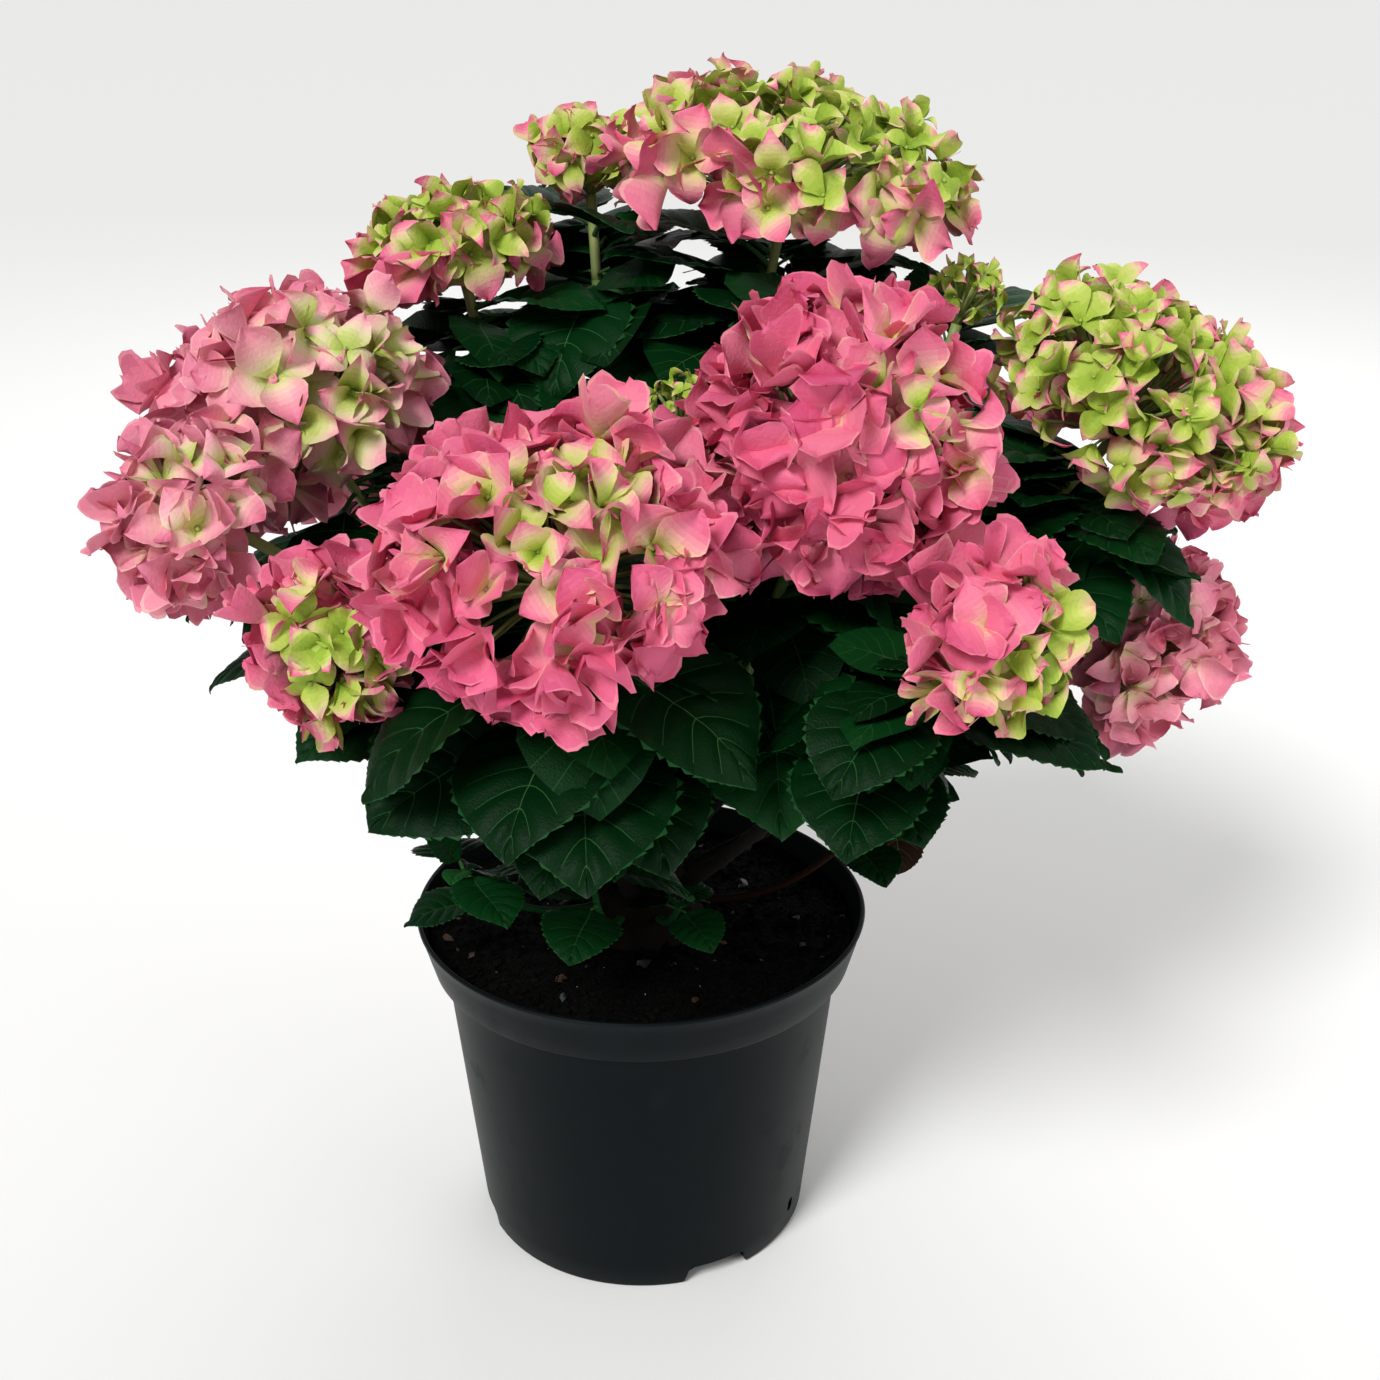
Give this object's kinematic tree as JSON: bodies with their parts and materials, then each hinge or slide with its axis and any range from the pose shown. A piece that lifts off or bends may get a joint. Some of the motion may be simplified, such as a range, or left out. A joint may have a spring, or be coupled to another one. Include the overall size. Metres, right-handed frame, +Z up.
{
  "type": "potted mophead hydrangea shrub",
  "caption": "Leafy mophead hydrangea shrub with pink and lime-green flower heads, growing in a round black nursery pot filled with compost.",
  "frame": {"origin": "centre of the pot's flat underside, where it stands", "axes": "+Z up out of the pot, -Y towards the shrub's front (the side its fullest flower heads face), +X to its right when seen from the front"},
  "size_m": [0.5353, 0.4858, 0.579],
  "materials": {
    "pot": "moulded black plastic, satin",
    "compost": "moist peaty potting compost, rough",
    "bark": "thin flaking bark",
    "leaf": "leathery dark green leaf, satin",
    "pink_blossom": "soft petal",
    "green_blossom": "soft petal"
  },
  "bodies": {
    "root": {"pot": "pot", "compost": "compost", "stump": "bark", "cane_front": "bark", "cane_mid_right": "bark", "cane_top_left": "bark", "cane_top": "bark", "cane_upper_left": "bark", "cane_bud_right": "bark", "cane_bud_middle": "bark", "cane_left": "bark", "cane_right": "bark", "cane_small_right": "bark", "cane_far_right": "bark", "cane_low_left": "bark", "cane_outer_left": "bark", "cane_back": "bark", "cane_back_left": "bark", "cane_back_right": "bark", "leaves_front": "leaf", "leaves_mid_right": "leaf", "leaves_top_left": "leaf", "leaves_top": "leaf", "leaves_upper_left": "leaf", "leaves_bud_right": "leaf", "leaves_bud_middle": "leaf", "leaves_left": "leaf", "leaves_right": "leaf", "leaves_small_right": "leaf", "leaves_far_right": "leaf", "leaves_low_left": "leaf", "leaves_outer_left": "leaf", "leaves_back": "leaf", "leaves_back_left": "leaf", "leaves_back_right": "leaf", "bloom_front": "pink_blossom", "bloom_mid_right": "pink_blossom", "bloom_top_left": "green_blossom", "bloom_top": "green_blossom", "bloom_upper_left": "green_blossom", "bloom_bud_right": "green_blossom", "bloom_bud_middle": "green_blossom", "bloom_left": "pink_blossom", "bloom_right": "green_blossom", "bloom_small_right": "pink_blossom", "bloom_far_right": "pink_blossom", "bloom_low_left": "pink_blossom", "bloom_outer_left": "pink_blossom", "bloom_back": "pink_blossom", "bloom_back_left": "pink_blossom", "bloom_back_right": "pink_blossom", "low_shoot_left": "leaf", "low_shoot_front": "leaf", "low_shoot_middle": "leaf", "low_shoot_right": "leaf"}
  },
  "joints": []
}
